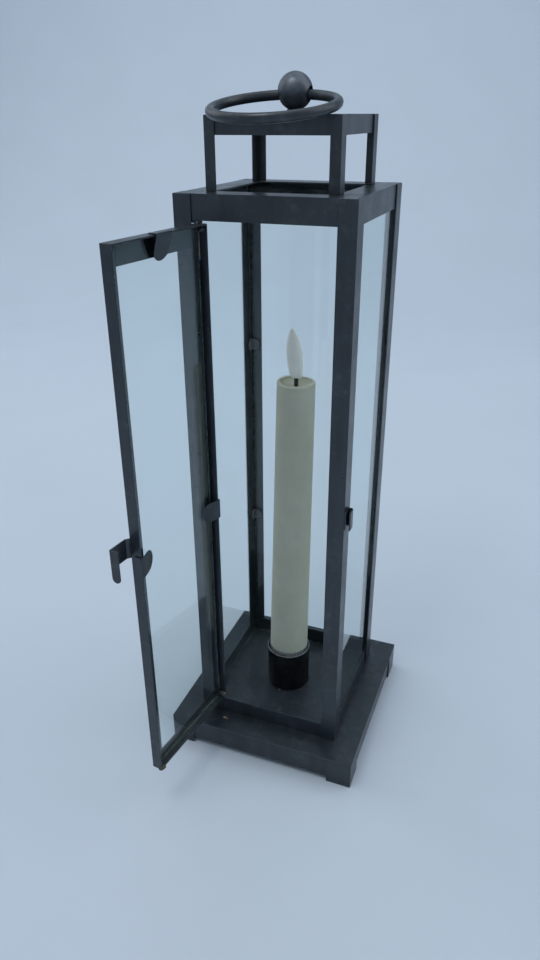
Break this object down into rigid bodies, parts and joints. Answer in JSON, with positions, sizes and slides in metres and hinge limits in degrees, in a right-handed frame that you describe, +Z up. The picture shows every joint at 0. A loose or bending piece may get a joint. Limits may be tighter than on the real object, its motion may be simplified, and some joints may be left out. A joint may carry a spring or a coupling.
{
  "type": "candle lantern",
  "caption": "Square metal and glass lantern with a hinged glazed door, an electric taper candle and a carrying ring.",
  "frame": {"origin": "centre of the base plate's underside", "axes": "+Z up, +X to the right seen from the front, +Y to the rear; the door is at the front, towards -Y"},
  "size_m": [0.13, 0.1983, 0.4165],
  "materials": {
    "coated_metal": "satin gunmetal coat",
    "pane_glass": "clear, polished",
    "bare_steel": "dull",
    "cup_metal": "black, satin",
    "candle_wax": "waxy",
    "cap_plastic": "ribbed",
    "cell_case": "plain sleeve",
    "lamp_plastic": "clear moulded",
    "wick_plastic": "black",
    "flame_plastic": "frosted"
  },
  "bodies": {
    "body": {"base_plate": "coated_metal", "foot_front_left": "coated_metal", "foot_front_right": "coated_metal", "foot_rear_left": "coated_metal", "foot_rear_right": "coated_metal", "post_front_left": "coated_metal", "post_front_right": "coated_metal", "post_rear_left": "coated_metal", "post_rear_right": "coated_metal", "rail_left": "coated_metal", "rail_right": "coated_metal", "rail_rear": "coated_metal", "sill_front": "coated_metal", "top_frame": "coated_metal", "glass_clip_rear_left_low": "coated_metal", "glass_clip_front_left_low": "coated_metal", "glass_clip_rear_right_low": "coated_metal", "glass_clip_front_right_low": "coated_metal", "glass_clip_rear_left_high": "coated_metal", "glass_clip_front_left_high": "coated_metal", "glass_clip_rear_right_high": "coated_metal", "glass_clip_front_right_high": "coated_metal", "hinge_lug_top": "coated_metal", "hinge_lug_bottom": "coated_metal", "latch_catch": "coated_metal", "crown_post_front_left": "coated_metal", "crown_post_front_right": "coated_metal", "crown_post_rear_left": "coated_metal", "crown_post_rear_right": "coated_metal", "crown_cap": "coated_metal", "ball_washer": "coated_metal", "ball_knob": "coated_metal", "glass_left": "pane_glass", "glass_right": "pane_glass", "glass_rear": "pane_glass", "ball_screw": "bare_steel", "candle_cup": "cup_metal"},
    "door": {"door_stile_hinge": "coated_metal", "door_stile_free": "coated_metal", "door_rail_top": "coated_metal", "door_rail_bottom": "coated_metal", "door_clip_hinge": "coated_metal", "door_clip_free": "coated_metal", "door_clip_top": "coated_metal", "latch_strip": "coated_metal", "door_glass": "pane_glass", "hinge_pin_top": "bare_steel", "hinge_pin_bottom": "bare_steel", "latch_rivet": "bare_steel"},
    "ring": {"ring_handle": "coated_metal"},
    "candle": {"candle_shell": "candle_wax", "candle_base_cap": "cap_plastic", "battery_lower": "cell_case", "battery_upper": "cell_case", "led_lamp": "lamp_plastic", "candle_wick": "wick_plastic", "candle_flame": "flame_plastic"}
  },
  "joints": [
    {"name": "door_hinge", "type": "hinge", "parent": "body", "child": "door", "pos_m": [-0.03605, -0.04695, 0.1705], "axis": [0, 0, 1], "range_deg": [-12, 98]},
    {"name": "ring_swing", "type": "hinge", "parent": "body", "child": "ring", "pos_m": [0, -0.0005, 0.3866], "axis": [-1, 0, 0], "range_deg": [0, 199.5]},
    {"name": "candle_lift", "type": "slide", "parent": "body", "child": "candle", "axis": [0, 0, 1], "range_m": [0, 0.03]}
  ]
}
